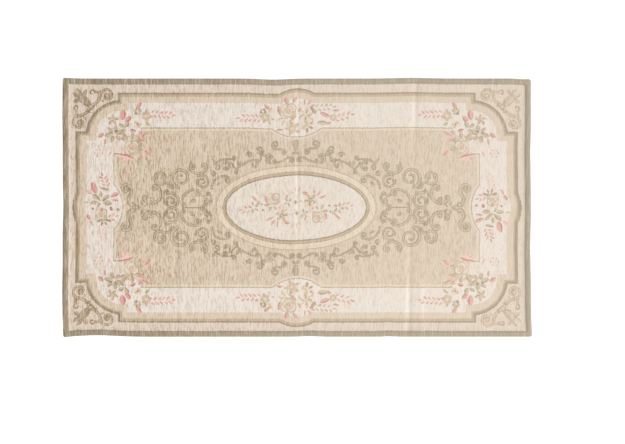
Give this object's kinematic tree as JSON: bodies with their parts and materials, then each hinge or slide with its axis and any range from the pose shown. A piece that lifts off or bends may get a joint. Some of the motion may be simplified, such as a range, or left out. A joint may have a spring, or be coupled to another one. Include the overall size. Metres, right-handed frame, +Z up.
{
  "type": "rug",
  "caption": "Rectangular flat-woven chenille rug with a turned hem, lying flat, patterned with an oval medallion, scrollwork and rose sprays.",
  "frame": {"origin": "centre of the underside, on the floor", "axes": "+X along the long sides, +Y along the short sides, +Z up out of the patterned face"},
  "size_m": [1.6374, 0.9054, 0.0072],
  "materials": {
    "chenille": "matt chenille tapestry weave with ribs along the short side"
  },
  "bodies": {
    "root": {"rug": "chenille"}
  },
  "joints": []
}
